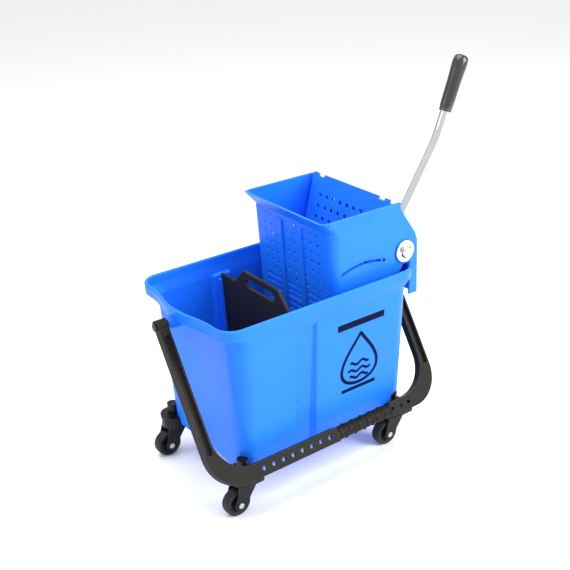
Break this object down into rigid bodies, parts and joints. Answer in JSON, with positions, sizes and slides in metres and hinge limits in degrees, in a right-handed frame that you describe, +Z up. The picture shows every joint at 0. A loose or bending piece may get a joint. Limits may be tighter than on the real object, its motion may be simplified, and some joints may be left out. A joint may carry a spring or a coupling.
{
  "type": "mop bucket with wringer",
  "caption": "Wheeled mop bucket with a drop-in side-press wringer worked by a long lever, a swinging bail handle, a lift-out divider and swivel casters.",
  "frame": {"origin": "on the floor under the middle of the bucket", "axes": "+Z up, +X along the bucket towards the wringer and its lever, -Y towards the front, where the bail hangs"},
  "size_m": [0.6378, 0.3101, 0.7173],
  "materials": {
    "blue_plastic": "satin injection-moulded polypropylene",
    "divider_plastic": "satin moulded sheet",
    "bail_plastic": "lightly grained moulded plastic",
    "black_plastic": "moulded nylon",
    "tyre_rubber": "smooth grey-black tread",
    "steel": "zinc plated",
    "chrome": "bright plated",
    "grip_plastic": "glossy dipped vinyl",
    "print_ink": "dark screen print"
  },
  "bodies": {
    "bucket": {"bucket_shell": "blue_plastic", "bail_boss_left": "blue_plastic", "bail_boss_right": "blue_plastic", "bail_pin_left": "black_plastic", "bail_pin_right": "black_plastic", "caster_shoe_front_left": "black_plastic", "caster_shoe_back_left": "black_plastic", "caster_shoe_front_right": "black_plastic", "caster_shoe_back_right": "black_plastic"},
    "bail": {"bail_handle": "bail_plastic", "bail_grip": "bail_plastic"},
    "divider": {"divider_panel": "divider_plastic"},
    "wringer": {"wringer_housing": "blue_plastic", "plate_hinge_rod": "steel", "axle_bush_front": "black_plastic", "axle_bush_back": "black_plastic"},
    "press_plate": {"press_plate": "blue_plastic"},
    "lever": {"lever_axle": "steel", "lever_tube": "chrome", "lever_hub": "steel", "lever_grip": "grip_plastic", "roller_bar": "steel", "return_spring": "steel", "axle_washer_front": "chrome", "axle_washer_back": "chrome", "axle_bolt_front": "chrome", "axle_bolt_back": "chrome", "crank_arm_front": "steel", "crank_arm_back": "steel", "press_roller_front": "black_plastic", "press_roller_back": "black_plastic"},
    "caster_front_left": {"caster_fork_front_left": "black_plastic", "caster_rivet_front_left": "steel"},
    "wheel_front_left": {"wheel_hub_front_left": "black_plastic", "wheel_tyre_front_left": "tyre_rubber"},
    "caster_back_left": {"caster_fork_back_left": "black_plastic", "caster_rivet_back_left": "steel"},
    "wheel_back_left": {"wheel_hub_back_left": "black_plastic", "wheel_tyre_back_left": "tyre_rubber"},
    "caster_front_right": {"caster_fork_front_right": "black_plastic", "caster_rivet_front_right": "steel"},
    "wheel_front_right": {"wheel_hub_front_right": "black_plastic", "wheel_tyre_front_right": "tyre_rubber"},
    "caster_back_right": {"caster_fork_back_right": "black_plastic", "caster_rivet_back_right": "steel"},
    "wheel_back_right": {"wheel_hub_back_right": "black_plastic", "wheel_tyre_back_right": "tyre_rubber"}
  },
  "joints": [
    {"name": "wringer_lift", "type": "slide", "parent": "bucket", "child": "wringer", "axis": [0, 0, 1], "range_m": [0, 0.2]},
    {"name": "lever_pivot", "type": "hinge", "parent": "wringer", "child": "lever", "pos_m": [0.196, 0, 0.394], "axis": [0, 1, 0], "range_deg": [0, 65], "stiffness_Nm_per_rad": 0.6, "springref_deg": -91.67},
    {"name": "press_plate_pivot", "type": "hinge", "parent": "wringer", "child": "press_plate", "pos_m": [0.104, 0, 0.245], "axis": [0, -1, 0], "range_deg": [0, 26]},
    {"name": "bail_pivot", "type": "hinge", "parent": "bucket", "child": "bail", "pos_m": [0, 0, 0.342], "axis": [-1, 0, 0], "range_deg": [0, 105]},
    {"name": "divider_lift", "type": "slide", "parent": "bucket", "child": "divider", "axis": [0, 0, 1], "range_m": [0, 0.28]},
    {"name": "caster_swivel_front_left", "type": "hinge", "parent": "bucket", "child": "caster_front_left", "pos_m": [-0.174, -0.117, 0.075], "axis": [0, 0, 1], "continuous": true},
    {"name": "wheel_spin_front_left", "type": "hinge", "parent": "caster_front_left", "child": "wheel_front_left", "pos_m": [-0.191, -0.117, 0.025], "axis": [0, 1, 0], "continuous": true},
    {"name": "caster_swivel_back_left", "type": "hinge", "parent": "bucket", "child": "caster_back_left", "pos_m": [-0.174, 0.117, 0.075], "axis": [0, 0, 1], "continuous": true},
    {"name": "wheel_spin_back_left", "type": "hinge", "parent": "caster_back_left", "child": "wheel_back_left", "pos_m": [-0.191, 0.117, 0.025], "axis": [0, 1, 0], "continuous": true},
    {"name": "caster_swivel_front_right", "type": "hinge", "parent": "bucket", "child": "caster_front_right", "pos_m": [0.174, -0.117, 0.075], "axis": [0, 0, 1], "continuous": true},
    {"name": "wheel_spin_front_right", "type": "hinge", "parent": "caster_front_right", "child": "wheel_front_right", "pos_m": [0.157, -0.117, 0.025], "axis": [0, 1, 0], "continuous": true},
    {"name": "caster_swivel_back_right", "type": "hinge", "parent": "bucket", "child": "caster_back_right", "pos_m": [0.174, 0.117, 0.075], "axis": [0, 0, 1], "continuous": true},
    {"name": "wheel_spin_back_right", "type": "hinge", "parent": "caster_back_right", "child": "wheel_back_right", "pos_m": [0.157, 0.117, 0.025], "axis": [0, 1, 0], "continuous": true}
  ],
  "couplings": [
    {"joint": "press_plate_pivot", "follows": "lever_pivot", "ratio": 0.4}
  ]
}
